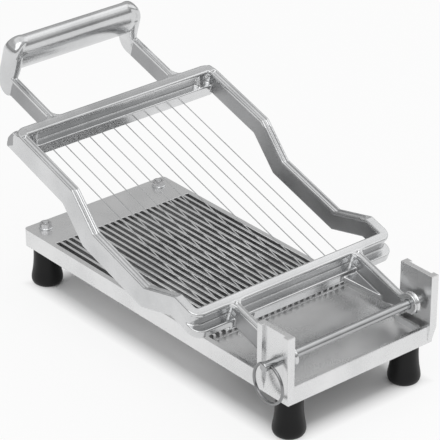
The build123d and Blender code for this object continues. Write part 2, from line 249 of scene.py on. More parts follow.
def prism(bm: BMesh, outline: Sequence[Vector], way: Vector) -> list[BMVert]:
    """Closed straight-sided solid.

    Args:
        bm: The mesh that takes it.
        outline: Corners of one end.
        way: From that end to the other.

    Returns:
        All its vertices.
    """
    corners = [bm.verts.new(point) for point in outline]
    face = bm.faces.new(corners)
    pulled = kinds(bmesh.ops.extrude_face_region(bm, geom=[face])["geom"], BMVert)
    bmesh.ops.translate(bm, verts=pulled, vec=way)
    return corners + pulled


def plate(bm: BMesh, outline: Sequence[Point], x0: float, x1: float) -> list[BMVert]:
    """Solid between two x positions, drawn as (s, n) points."""
    return prism(bm, [Vector((x0, s, n)) for s, n in outline], Vector((x1 - x0, 0.0, 0.0)))


def slab(bm: BMesh, outline: Sequence[Point], n0: float, n1: float) -> list[BMVert]:
    """Solid between two n positions, drawn as (x, s) points."""
    return prism(bm, [Vector((x, s, n0)) for x, s in outline], Vector((0.0, 0.0, n1 - n0)))


def block(bm: BMesh, x: Point, s: Point, n: Point) -> list[BMVert]:
    """Box between two corners, each axis as its two limits."""
    centre = Vector(((x[0] + x[1]) / 2, (s[0] + s[1]) / 2, (n[0] + n[1]) / 2))
    size = Matrix.Diagonal((x[1] - x[0], s[1] - s[0], n[1] - n[0], 1.0))
    return bmesh.ops.create_cube(bm, size=1.0, matrix=Matrix.Translation(centre) @ size)["verts"]


def edges_of(verts: Sequence[BMVert]) -> set[BMEdge]:
    """Edges with both ends among some vertices."""
    inside = set(verts)
    return {e for v in verts for e in v.link_edges if e.verts[0] in inside and e.verts[1] in inside}


def rounded(bm: BMesh, edges: Iterable[BMEdge], radius: float, steps: int,
            clamp: bool = True) -> None:
    """Rounds edges with an arc."""
    bmesh.ops.bevel(bm, geom=list(edges), offset=radius, offset_type="OFFSET", segments=steps,
                    profile=0.5, affect="EDGES", material=-1, clamp_overlap=clamp)


def spread(start: float, end: float, steps: int) -> list[float]:
    """Even values from one to another, both included."""
    return [start + (end - start) * i / steps for i in range(steps + 1)]


def around(radius: float, steps: int) -> list[Point]:
    """Points evenly round a circle."""
    angles = spread(0.0, math.tau, steps)[:-1]
    return [(radius * math.cos(a), radius * math.sin(a)) for a in angles]


def axes(u: Triple, along: Triple, v: Triple, at: Triple) -> Matrix:
    """Station of a section, from the directions of its three axes and its place."""
    return Matrix((*zip(u, along, v, at), (0.0, 0.0, 0.0, 1.0)))


def turns(place: Matrix, steps: int) -> list[Matrix]:
    """Stations of one full turn about the Z axis of a place."""
    return [place @ Matrix.Rotation(a, 4, "Z") for a in spread(0.0, math.tau, steps)]


def sweep(bm: BMesh, section: Sequence[Point], stations: Sequence[Matrix],
          closed: bool = False) -> None:
    """Carries a closed section along a path.

    Args:
        bm: The mesh that takes it.
        section: Corners (u, v), on the first and third axes of each station.
        stations: Where the section stands, one after another.
        closed: The last station is the first again.
    """
    ring = [bm.verts.new(stations[0] @ Vector((u, 0.0, v))) for u, v in section]
    edges = [bm.edges.new(pair) for pair in zip(ring, ring[1:] + ring[:1])]
    first, start = list(ring), list(edges)
    for before, here in zip(stations, stations[1:]):
        made = bmesh.ops.extrude_edge_only(bm, edges=edges)["geom"]
        ring = kinds(made, BMVert)
        fresh = set(ring)
        edges = [e for e in kinds(made, BMEdge) if e.verts[0] in fresh and e.verts[1] in fresh]
        bmesh.ops.transform(bm, matrix=here @ before.inverted(), verts=ring)
    if closed:
        bmesh.ops.remove_doubles(bm, verts=first + ring, dist=NEAR)
        return
    for end in (start, edges):
        bmesh.ops.edgeloop_fill(bm, edges=end)


def spun(bm: BMesh, profile: Sequence[Point], steps: int) -> None:
    """Turns a profile of (radius, z) points about Z into a closed solid."""
    line = [bm.verts.new((r, 0.0, z)) for r, z in profile]
    edges = [bm.edges.new(pair) for pair in zip(line, line[1:])]
    bmesh.ops.spin(bm, geom=line + edges, axis=(0, 0, 1), cent=(0, 0, 0), angle=math.tau,
                   steps=steps, use_merge=True)
    bmesh.ops.remove_doubles(bm, verts=bm.verts, dist=NEAR)


def fillet(corner: Point, radius: float, way: Point, steps: int = 5) -> list[Point]:
    """Outline of the metal in an inner corner, with a hollow face towards the signs of way."""
    x, y = corner[0] + way[0] * radius, corner[1] + way[1] * radius
    return [corner] + [(x - way[0] * radius * math.sin(a), y - way[1] * radius * math.cos(a))
                       for a in spread(0.0, QUARTER, steps)]


def four(kind: str) -> list[str]:
    """Nodes of one kind at the four corners, the front ones first."""
    return [f"{kind}_{end}_{k.name.lower()}" for end in ("front", "rear") for k in Side]


def middle(node: str) -> Vector:
    """Middle of a node's box at rest."""
    low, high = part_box(node)
    return Vector([(a + b) / 2 for a, b in zip(low, high)])


def levels(node: str) -> Point:
    """Lowest and highest level of a node, in millimetres."""
    low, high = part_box(node)
    return low.z / MM, high.z / MM


def upright(node: str) -> Matrix:
    """From a turned part's millimetres to its place on a node's upright axis."""
    x, y, _ = middle(node)
    return Matrix.Translation((x, y, 0.0)) @ TO_METRES


def shown(name: str, data: bpy.types.ID) -> bpy.types.Object:
    """Puts an object in the scene."""
    made = bpy.data.objects.new(name, data)
    bpy.context.scene.collection.objects.link(made)
    return made


def to_mesh(bm: BMesh, name: str, place: Matrix) -> Mesh:
    """Turns a bmesh into a mesh at its place, with its faces outwards."""
    bmesh.ops.recalc_face_normals(bm, faces=bm.faces)
    mesh = bpy.data.meshes.new(name)
    bm.to_mesh(mesh)
    bm.free()
    mesh.transform(place)
    return mesh


def baked(mesh: Mesh, name: str, kind: str, **values: object) -> Mesh:
    """A mesh with one modifier worked into it."""
    holder = shown(name, mesh)
    change = holder.modifiers.new(kind.lower(), kind)
    for key, value in values.items():
        setattr(change, key, value)
    worked = holder.evaluated_get(bpy.context.evaluated_depsgraph_get())
    done = bpy.data.meshes.new_from_object(worked)
    bpy.data.objects.remove(holder)
    bpy.data.meshes.remove(mesh)
    return done


def piece(node: str, mesh: Mesh, body: str, finishes: Sequence[Finish],
          name: str = "", sharp: float = 40.0) -> None:
    """Puts a finished mesh in the scene in place of a node.

    Args:
        node: The node that it stands for.
        mesh: Its mesh, in place.
        body: The body it moves with.
        finishes: Its materials, in the order that its faces name them.
        name: The piece's name, if it isn't the node's name and "_body".
        sharp: Least angle of an edge that stays sharp, degrees.
    """
    name = name or f"{node}_body"
    mesh.name = name
    mesh.shade_smooth()
    mesh.set_sharp_from_angle(angle=math.radians(sharp))
    made = shown(name, mesh)
    even = made.modifiers.new("even_faces", "WEIGHTED_NORMAL")
    even.keep_sharp = True
    even.weight = 50
    for finish in finishes:
        mesh.materials.append(finish.material())
    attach(made, body)
    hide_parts(node)
    mesh.calc_loop_triangles()
    logging.info("%s: %d triangles on %s", name, len(mesh.loop_triangles), body)


# ---- base
@dataclass
class BaseCasting:
    """Slotted deck, tray, skirts and pivot ears, with their edges broken."""

    edge: float = 0.4
    edge_steps: int = 2
    least_angle: float = 30.0
    least_length: float = 1.2
    one_plane: float = 0.5
    steep: float = 0.5
    notch_y: Point = (-71.8, -65.3)
    notch_z: float = 37.9
    slot_half: float = 57.5
    slot_y: Point = (-66.0, 88.0)
    deck: float = 40.8
    under: float = 37.0

    def crisp(self, edge: BMEdge) -> bool:
        """Tells whether an edge is broken: any real corner but those of the shallow notches."""
        if len(edge.link_faces) != 2 or edge.calc_length() < self.least_length * MM:
            return False
        low, high = (v * MM for v in self.notch_y)
        if all(low < v.co.y < high and v.co.z > self.notch_z * MM for v in edge.verts):
            return False
        return edge.calc_face_angle() > math.radians(self.least_angle)

    def rough(self, face: MeshPolygon) -> bool:
        """Tells whether a face is rough, darker as painted shade: the underside and the slots'
        walls.
        """
        x, y, z = face.center / MM
        if face.normal.z < -self.steep:
            return z < self.under
        inside = abs(x) < self.slot_half and self.slot_y[0] < y < self.slot_y[1]
        return inside and abs(face.normal.z) < self.steep and z < self.deck

    def build(self) -> None:
        """Makes the casting from the node's own shape."""
        bm = bmesh.new()
        bm.from_mesh(frame["nodes"]["base_casting"].data)
        bmesh.ops.remove_doubles(bm, verts=bm.verts, dist=NEAR * MM)
        bmesh.ops.dissolve_limit(bm, angle_limit=math.radians(self.one_plane), verts=bm.verts,
                                 edges=bm.edges)
        rounded(bm, [e for e in bm.edges if self.crisp(e)], self.edge * MM, self.edge_steps,
                clamp=False)
        mesh = to_mesh(bm, "base", Matrix.Identity(4))
        # underside and slot walls get the rough casting, darker as painted shade
        for face in mesh.polygons:
            face.material_index = int(self.rough(face))
        piece("base_casting", mesh, "base", [CAST_BASE, SHADED_UNDER_CASTING], name="base_body")


@dataclass
class Feet:
    """Four waisted rubber feet."""

    steps: int = 64
    line: Line = ((0.0, 0.0), (7.4, 0.0), (8.6, 0.35), (9.6, 1.1), (10.3, 2.3), (10.65, 3.6),
                  (10.68, 5.0), (10.45, 7.0), (10.0, 9.3), (9.55, 12.0), (9.2, 15.0),
                  (8.95, 18.5), (8.82, 22.0), (8.8, 28.3), (8.5, 29.0), (0.0, 29.0))

    def build(self) -> None:
        """Makes one foot at each foot node."""
        for node in four("foot"):
            bm = bmesh.new()
            spun(bm, self.line, self.steps)
            piece(node, to_mesh(bm, node, upright(node)), "base", [RUBBER])


# ---- cutting frame
@dataclass
class CuttingFrame:
    """The cranked frame casting, with its legs, knuckles and handle.

    Fields that end in _s are places along the frame, and in _n heights over its flat.
    """

    raised: float = 17.5
    half: float = 82.5
    front_s: float = 52.0
    rear_s: float = 245.0
    back_s: float = 241.0
    top: float = 0.5
    depth: float = 15.5
    lap: float = 1.0
    # rails
    corner_r: float = 8.0
    corner_steps: int = 8
    flange_t: float = 2.6
    side_w: float = 6.4
    front_w: float = 7.0
    rear_w: float = 7.6
    web_w: float = 5.0
    front_web: Point = (53.5, 59.0)
    rear_web_t: float = 2.2
    lip: float = 0.65
    groove: Point = (2.1, 4.3)
    groove_t: float = 1.5
    groove_lean: float = 0.2
    filler: Triple = (0.6, 0.3, 0.03)
    flat_sunk: float = 0.05
    crank: tuple[Triple, ...] = ((73.0, 0.0, -1.0), (99.5, 15.5, -1.0), (153.5, 15.5, 6.5),
                                 (180.0, 0.0, 6.0))
    # wire bars and rear corners
    bar_n: Point = (-18.3, -9.5)
    bar_front_s: Point = (47.0, 59.0)
    bar_half: float = 56.0
    bar_round: float = 1.5
    bar_rear_s: Point = (233.4, 241.0)
    bar_rear_half: float = 79.7
    lug_x: float = 66.0
    lug_out: float = 4.5
    lug_top_n: float = -9.0
    lug_round: float = 2.2
    column_x: Triple = (61.0, 68.0, 72.4)
    column_share: Point = (0.15, 0.8)
    column_foot: Point = (0.7, 0.6)
    # legs, knuckles and arms
    arm_x: float = 50.6
    arm_web: float = 2.8
    arm_flange: float = 4.7
    arm_d: float = 14.5
    knuckle_r: float = 7.4
    eye_half: float = 2.2
    eye_steps: int = 48
    boss: Point = (4.3, 2.6)
    eye_edge: float = 0.8
    bore: float = 3.05
    web_in: float = 0.6
    heel_s: float = 19.0
    toe_s: float = 3.0
    brow_r: float = 5.0
    wrap: float = 140.0
    leg_lap: float = 3.0
    gusset: Triple = (27.0, 12.0, 3.0)
    gusset_lap: float = 0.5
    corner_fillet: float = 4.5
    leg_fillet: float = 2.0
    arm_fillet: float = 2.5
    fillet_lap: float = 0.3
    fillet_sunk: float = 1.5
    # handle
    handle_s: float = 295.5
    handle_r: float = 11.0
    arm_lap: float = 2.0
    arm_root: float = 1.5
    post: Point = (10.5, 16.0)
    post_x: float = 54.15
    post_foot: float = 4.8
    post_ankle: float = 3.0
    post_swell: Line = ((6.0, 0.8), (11.0, 0.0))
    post_steps: int = 32
    squareness: float = 0.8
    heel_r: float = 10.0
    neck: Point = (2.5, 6.5)
    tongue: Triple = (3.0, 4.0, 10.0)
    grip: float = 25.5
    grip_top_n: float = 27.3
    grip_steps: int = 40
    dome: tuple[float, ...] = (0.8, 1.6, 3.0, 5.0, 8.0)
    # skin
    grid: float = 0.45
    rounds: int = 2
    most: int = 190000
    # where the painted shade of the webs starts, and which faces take it
    painted_shade_edge: Point = (0.3, 2.0)
    painted_shade_normal: Point = (0.5, 0.8)

    @property
    def place(self) -> Matrix:
        """From the frame's flat millimetres to its raised place at the hinge."""
        hinge = next(j for j in frame["joints"] if j["name"] == "frame_hinge")
        lift = Matrix.Rotation(math.radians(self.raised), 4, "X")
        return Matrix.Translation(Vector(hinge["pos_m"])) @ lift @ TO_METRES

    def round_the_frame(self, s0: float, s1: float, front: float, rear: float) -> list[Matrix]:
        """Stations of a rail section carried once round the frame, with u inwards and v up.

        Args:
            s0: Outline nearest the pivot.
            s1: Outline farthest from it.
            front: Stretch of the section along the front rail.
            rear: Stretch along the rear rail.

        Returns:
            The stations, the first one again at the end.
        """
        r = self.corner_r
        across = self.half - r
        corners = (
            (across, s0 + r, -90.0, front, 1.0, self.crank, self.half),
            (across, s1 - r, 0.0, 1.0, rear, (), 0.0),
            (-across, s1 - r, 90.0, rear, 1.0, self.crank[::-1], -self.half),
            (-across, s0 + r, 180.0, 1.0, front, (), 0.0),
        )
        spots = []
        for cx, cs, start, w0, w1, after, x in corners:
            for share in spread(0.0, 1.0, self.corner_steps):
                a = math.radians(start + 90.0 * share)
                spots.append((cx + r * math.cos(a), cs + r * math.sin(a), a,
                              w0 + (w1 - w0) * share, 0.0, 0.0))
            spots += [(x, s, a, 1.0, drop, skew) for s, drop, skew in after]
        stations = []
        for x, s, a, width, drop, skew in spots:
            out = Vector((math.cos(a), math.sin(a), 0.0))
            stations.append(axes((-out.x * width, -out.y * width, 0.0), (-out.y, out.x, 0.0),
                                 (0.0, -skew / self.depth, 1.0), (x, s, self.top - drop)))
        return stations + stations[:1]

    def ridged(self, width: float) -> list[Point]:
        """Section of a flange with a round ridge along each edge."""
        g0, g1 = (g * width / self.side_w for g in self.groove)
        lip, lean, thick = self.lip, self.groove_lean, self.flange_t
        return [(0.0, -thick), (0.0, -lip), (lip, 0.0), (g0 - lip, 0.0),
                (g0 + lean, -self.groove_t), (g1 - lean, -self.groove_t), (g1 + lip, 0.0),
                (width - lip, 0.0), (width, -lip), (width, -thick)]

    def rails(self, bm: BMesh) -> None:
        """Flange and web round the frame, with flat tops on the end rails and the corners."""
        flange = self.round_the_frame(self.front_s, self.rear_s, self.front_w / self.side_w,
                                      self.rear_w / self.side_w)
        sweep(bm, self.ridged(self.side_w), flange, closed=True)
        past, deeper, sunk = self.filler
        g0, g1 = self.groove[0] - past, self.groove[1] + past
        v0, v1 = -self.groove_t - deeper, -sunk
        turn, kinks = self.corner_steps + 1, len(self.crank)
        rear, last = turn + kinks, 3 * turn + 2 * kinks
        for start, end in ((0, turn + 1), (rear, rear + turn), (rear + turn, rear + 2 * turn),
                           (last - 1, last + turn)):
            sweep(bm, [(g0, v0), (g0, v1), (g1, v1), (g1, v0)], flange[start:end])
        (f0, f1), wide = self.front_web, self.web_w
        web = self.round_the_frame(f0, self.back_s, (f1 - f0) / wide, self.rear_web_t / wide)
        high, low = -self.flange_t / 2, -self.depth
        sweep(bm, [(0.0, low), (0.0, high), (wide, high), (wide, low)], web, closed=True)
        inner = self.half - self.corner_r
        flat = (self.top - self.flange_t / 2, self.top - self.flat_sunk)
        for s0, s1 in ((self.front_s, self.front_s + self.front_w),
                       (self.rear_s - self.rear_w, self.rear_s)):
            block(bm, (-inner, inner), (s0 + self.lap, s1 - self.lap), flat)

    def bars(self, bm: BMesh) -> None:
        """Thick lower bars of the end rails, which carry the wires."""
        (s0, s1), (low, high) = self.bar_front_s, self.bar_n
        for half, bottom, radius, last_s in (
                (self.half, self.top - self.depth, self.corner_r, s0),
                (self.bar_half, low, self.bar_round, s1)):
            verts = block(bm, (-half, half), (s0, s1), (bottom, high))
            upright = [e for e in edges_of(verts) if e.verts[0].co.y < last_s + NEAR
                       and abs(e.verts[0].co.z - e.verts[1].co.z) > NEAR]
            rounded(bm, upright, radius, 6)
        block(bm, (-self.bar_rear_half, self.bar_rear_half), self.bar_rear_s, (low, high))

    def corners(self, bm: BMesh) -> None:
        """Rear corner lugs, and the hollow ends of the rear rail's pocket."""
        low, end = self.top - self.depth, self.rear_s + self.lug_out
        start = self.back_s - self.lap
        roof = self.top - self.flange_t / 2
        lug = [(start, roof), (self.rear_s, roof), (end, self.lug_top_n), (end, low), (start, low)]
        bend = self.back_s - self.corner_r
        cheek = [(bend, low), (bend, roof), (self.back_s, roof), (self.back_s, low)]
        front = self.rear_s - self.rear_w
        inner, edge, outer = self.column_x
        (wall, shoulder), (foot, back) = self.column_share, self.column_foot
        hollow = [(inner, 0.0), (inner, wall)]
        hollow += [(inner + (edge - inner) * math.sin(a), 1.0 - (1.0 - wall) * math.cos(a))
                   for a in spread(0.0, QUARTER, 6)[1:]]
        hollow += [(outer - self.lap, 1.0), (outer, shoulder), (outer, 0.0)]
        line = ((self.bar_rear_s[0] + foot, self.bar_n[1] - self.lap),
                (front, self.top - self.flange_t), (front, roof))
        for k in Side:
            verts = plate(bm, lug, k * self.lug_x, k * self.half)
            rounded(bm, [e for e in edges_of(verts)
                         if all(v.co.y > self.rear_s - self.lap for v in e.verts)],
                    self.lug_round, 5)
            plate(bm, cheek, k * (self.half - self.web_w), k * self.half)
            sweep(bm, hollow, [axes((k, 0.0, 0.0), (0.0, 0.0, 1.0),
                                    (0.0, s - self.back_s - back, 0.0),
                                    (0.0, self.back_s + back, n)) for s, n in line])

    def knuckle(self, bm: BMesh, x: float) -> None:
        """Round eye of one leg on the hinge pin, with a thicker boss at its middle."""
        half, (boss, proud) = self.eye_half, self.boss
        rim, slope = self.knuckle_r - self.eye_edge, boss + self.eye_edge
        section = [(self.bore, -proud), (boss, -proud), (slope, -half), (rim, -half), (rim, half),
                   (slope, half), (boss, proud), (self.bore, proud)]
        turned = [axes((0.0, math.cos(a), math.sin(a)), (0.0, -math.sin(a), math.cos(a)),
                       (1.0, 0.0, 0.0), (x, 0.0, 0.0))
                  for a in spread(0.0, math.tau, self.eye_steps)]
        sweep(bm, section, turned, closed=True)

    def eye_line(self) -> list[Triple]:
        """Line of a leg's top from the front rail and round the eye.

        Returns:
            Each point as s, n and the tilt of the outward side from +n towards +s, radians.
        """
        r, hollow = self.knuckle_r, self.brow_r
        tilt = math.acos((self.top + hollow) / (r + hollow))
        start = (r + hollow) * math.sin(tilt)
        line = [(self.front_s + self.leg_lap, self.top, 0.0)]
        for a in spread(0.0, tilt, 6):
            line.append((start - hollow * math.sin(a), self.top + hollow * (1 - math.cos(a)), a))
        for a in spread(tilt, -math.radians(self.wrap), 24)[1:]:
            line.append((r * math.sin(a), r * math.cos(a), a))
        return line

    def root(self, bm: BMesh, x: float, way: float, flange_s: float, web_s: float, web_r: float,
             low: float) -> None:
        """Fillets beside a leg or an arm, at its rail's flange and at its rail's web."""
        for k in Side:
            corner = (x + k * self.arm_flange / 2, flange_s)
            slab(bm, fillet(corner, self.corner_fillet, (k, way)), self.top - self.flange_t,
                 self.top)
            slab(bm, fillet((x + k * self.arm_web / 2, web_s), web_r, (k, way)), low,
                 self.top - self.fillet_sunk)

    def legs(self, bm: BMesh) -> None:
        """Two legs from the front rail down to the hinge pin."""
        low, line = self.top - self.depth, self.eye_line()
        end = line[0][0]
        sunk = self.flange_t / 2
        under = [(s - sunk * math.sin(a), n - sunk * math.cos(a)) for s, n, a in line[1:8]]
        rim, bore = self.knuckle_r - self.web_in, self.bore + self.web_in
        web = [(end, low), (self.heel_s, low), (self.toe_s, -rim), (bore, -bore),
               (bore + self.lap, 0.0), (bore, bore), *under[::-1], (end, self.top - sunk)]
        width, half = self.arm_flange, self.arm_web / 2
        back, (reach, wide, thick) = self.bar_front_s[0] + self.gusset_lap, self.gusset
        for k in Side:
            x = k * self.arm_x
            plate(bm, web, x - half, x + half)
            sweep(bm, self.ridged(width), [
                axes((1.0, 0.0, 0.0), (0.0, math.cos(a), -math.sin(a)),
                     (0.0, math.sin(a), math.cos(a)), (x - width / 2, s, n)) for s, n, a in line])
            self.knuckle(bm, x)
            inner = x - k * half
            slab(bm, [(inner, back), (inner, back - reach), (inner - k * wide, back)],
                 low, low + thick)
            self.root(bm, x, -1.0, self.front_s + self.fillet_lap, self.front_web[0],
                      self.leg_fillet, low)

    def arms(self, bm: BMesh) -> None:
        """Two arms behind the rear rail."""
        start, end = self.back_s - self.lap, self.handle_s - self.post[1] / 2 + self.arm_lap
        low, width, half = self.top - self.arm_d, self.arm_flange, self.arm_web / 2
        for k in Side:
            x = k * self.arm_x
            block(bm, (x - half, x + half), (start, end), (low, self.top - self.lap))
            sweep(bm, self.ridged(width), [Matrix.Translation((x - width / 2, s, self.top))
                                           for s in (self.rear_s - self.arm_root, end)])
            self.root(bm, x, 1.0, self.rear_s - self.fillet_lap, self.back_s, self.arm_fillet, low)

    def bent_post(self, bm: BMesh, k: Side) -> None:
        """One post, thin at its heel and bent over at the top into the grip."""
        thick, length = self.post
        outer, front = self.post_x, self.handle_s - length / 2
        low, heel = self.top - self.arm_d, self.heel_r
        section = [(0.5 + 0.5 * math.copysign(abs(c) ** self.squareness, c),
                    0.5 * math.copysign(abs(d) ** self.squareness, d))
                   for c, d in around(1.0, self.post_steps)]
        path = []
        for a, wide in zip(spread(0.0, QUARTER, 5),
                           spread(self.post_foot, thick - self.post_ankle, 5)):
            path.append((-outer, low + heel * (1 - math.cos(a)), 0.0, wide,
                         length - heel * (1 - math.sin(a))))
        path += [(-outer, low + heel + up, 0.0, thick - less, length)
                 for up, less in self.post_swell]
        r, top, (slim, short) = self.handle_r, self.grip_top_n, self.neck
        for a, wide, run in zip(spread(0.0, QUARTER, 8), spread(thick, thick - slim, 8),
                                spread(length, length - short, 8)):
            path.append((r - outer - r * math.cos(a), top - r + r * math.sin(a), a, wide, run))
        deep, slim, short = self.tongue
        path.append((2 * r - outer, top - deep, QUARTER, thick - slim, length - short))
        sweep(bm, section, [
            axes((-k * math.cos(a) * wide, 0.0, -math.sin(a) * wide),
                 (-k * math.sin(a), 0.0, math.cos(a)), (0.0, run, 0.0),
                 (k * -x, front + run / 2 if a == 0.0 else self.handle_s, n))
            for x, n, a, wide, run in path])

    def handle(self, bm: BMesh) -> None:
        """Two bent posts and the oval grip between them."""
        for k in Side:
            self.bent_post(bm, k)
        r = self.handle_r
        flat = self.grip / 2 - r
        half = [(self.post_x - d, (flat + r * math.sqrt(1 - ((r - d) / r) ** 2)) / (flat + r))
                for d in (*self.dome, r)]
        path = half + [(-x, share) for x, share in half[::-1]]
        sweep(bm, around(0.5, self.grip_steps), [
            axes((0.0, self.post[1] * share, 0.0), (1.0, 0.0, 0.0), (0.0, 0.0, self.grip * share),
                 (x, self.handle_s, self.grip_top_n - self.grip / 2)) for x, share in path])

    def in_painted_shade(self, spot: Vector, normal: Vector) -> bool:
        """Tells whether a spot takes painted shade: a web, and not a polished face.

        Args:
            spot: A face's middle, in the frame's flat millimetres.
            normal: Its outward direction.

        Returns:
            True on the webs of the legs, the arms and the inside of the side rails.
        """
        x, s, n = spot
        (under, behind), (sideways, upwards) = self.painted_shade_edge, self.painted_shade_normal
        if n > self.top - self.flange_t - under or abs(normal.z) > upwards:
            return False
        if s > self.back_s + behind:
            return s < self.handle_s - self.post[1] / 2
        if s > self.front_web[1]:
            return abs(normal.x) > sideways and normal.x * x < 0.0 and s < self.bar_rear_s[0]
        return s < self.bar_front_s[0] and math.hypot(s, n) > self.knuckle_r

    def skin(self, shapes: Mesh) -> Mesh:
        """One skin round all the closed shapes, with soft corners where they meet.

        Args:
            shapes: The shapes, in millimetres.

        Returns:
            The skin as a mesh, still in millimetres.
        """
        grid = self.grid * 1
        skin = baked(shapes, "frame", "REMESH", mode="VOXEL", voxel_size=grid, adaptivity=0.0)
        soft = bmesh.new()
        soft.from_mesh(skin)
        bpy.data.meshes.remove(skin)
        for _ in range(self.rounds):
            bmesh.ops.smooth_vert(soft, verts=soft.verts, factor=0.5, use_axis_x=True,
                                  use_axis_y=True, use_axis_z=True)
        mesh = to_mesh(soft, "frame", Matrix.Identity(4))
        share = self.most / (2 * len(mesh.polygons))
        return baked(mesh, "frame", "DECIMATE", ratio=share) if share < 1 else mesh

    def build(self) -> None:
        """Makes the casting as one skin."""
        bm = bmesh.new()
        for shapes in (self.rails, self.bars, self.corners, self.legs, self.arms, self.handle):
            shapes(bm)
        mesh = self.skin(to_mesh(bm, "frame", Matrix.Identity(4)))
        # webs under the flanges and inner faces of the side rails get the darker casting as painted
        # shade
        for face in mesh.polygons:
            face.material_index = int(self.in_painted_shade(face.center, face.normal))
        mesh.transform(self.place)
        piece("frame_casting", mesh, "frame", [CAST_FRAME, PAINTED_SHADE_WEB],
              name="frame_body", sharp=60.0)


# ---- hinge pin
@dataclass
class PullPin:
    """Ground hinge pin with its cross hole, and the round wire ring through it."""

    radius: float = 3.0
    chamfer: float = 0.8
    steps: int = 64
    hole: float = 1.28
    hole_steps: int = 32
    ring_r: float = 13.0
    ring_wire: float = 1.0
    wire_steps: int = 20
    ring_steps: int = 120

    def pin(self) -> None:
        """Makes the pin, drilled near its pulled end."""
        low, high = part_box("hinge_pin")
        _, y, z = middle("hinge_pin")
        length = (high.x - low.x) / MM
        r, c = self.radius, self.chamfer
        bm = bmesh.new()
        spun(bm, [(0.0, 0.0), (r - c, 0.0), (r - c / 2, c / 4), (r, c), (r, length - c),
                  (r - c / 2, length - c / 4), (r - c, length), (0.0, length)], self.steps)
        lie = Matrix.Translation((low.x, y, z)) @ Matrix.Rotation(QUARTER, 4, "Y")
        body = to_mesh(bm, "pin", lie @ TO_METRES)
        drill = bmesh.new()
        bmesh.ops.create_cone(drill, cap_ends=True, segments=self.hole_steps, radius1=self.hole,
                              radius2=self.hole, depth=4 * r)
        across = Matrix.Translation((middle("pull_ring").x, y, z))
        across = across @ Matrix.Rotation(QUARTER, 4, "X") @ TO_METRES
        cutter = shown("drill", to_mesh(drill, "drill", across))
        body = baked(body, "pin", "BOOLEAN", object=cutter, operation="DIFFERENCE", solver="EXACT")
        bpy.data.objects.remove(cutter)
        piece("hinge_pin", body, "pin", [BRIGHT], sharp=25.0)

    def ring(self) -> None:
        """Makes the ring, one turn of its wire."""
        section = [(self.ring_r + u, v) for u, v in around(self.ring_wire, self.wire_steps)]
        bm = bmesh.new()
        sweep(bm, section, turns(Matrix.Identity(4), self.ring_steps), closed=True)
        place = Matrix.Translation(middle("pull_ring")) @ Matrix.Rotation(QUARTER, 4, "Y")
        piece("pull_ring", to_mesh(bm, "ring", place @ TO_METRES), "ring", [SPRING])

    def build(self) -> None:
        """Makes the pin and its ring."""
        self.pin()
        self.ring()


# ---- screws and nuts
def threaded(radius: float, z0: float, z1: float, pitch: float) -> list[Point]:
    """Profile of a threaded rod that is thinner at both tips."""
    start, deep = 0.75, 0.3 * pitch
    tip, root = radius - 2 * deep, radius - deep
    line = [(0.0, z0), (tip, z0)]
    for i in range(int((z1 - z0 - pitch) / pitch)):
        z = z0 + pitch * (i + start)
        line += [(root, z), (radius, z + 0.35 * pitch), (radius, z + 0.5 * pitch),
                 (root, z + 0.85 * pitch)]
    return line + [(tip, z1), (0.0, z1)]


@dataclass(frozen=True)
class Nut:
    """Hexagon nut, with its corners and its hole chamfered at the top."""

    flats: float
    bore: float
    turn: float
    chamfer: float
    mouth: float = 0.2
    steps: int = 24

    def add(self, bm: BMesh, z0: float, z1: float) -> list[BMVert]:
        """Adds the nut to a mesh, about Z.

        Args:
            bm: The mesh.
            z0: Its seat.
            z1: Its top.

        Returns:
            All its vertices.
        """
        rim = self.flats / math.sqrt(3)
        lean = Matrix.Rotation(math.radians(self.turn), 4, "Z")
        section = [(self.bore, z0), (rim, z0), (rim, z1 - self.chamfer / 2),
                   (rim - self.chamfer, z1), (self.bore + self.mouth, z1),
                   (self.bore, z1 - self.mouth)]
        before = set(bm.verts)
        sweep(bm, section, turns(lean, self.steps), closed=True)
        made = [v for v in bm.verts if v not in before]
        for i in range(6):
            a = math.pi / 6 + math.pi / 3 * i
            out = lean @ Vector((math.cos(a), math.sin(a), 0.0))
            for v in made:
                past = v.co.dot(out) - self.flats / 2
                if past > 0.0:
                    v.co -= out * past
        return made


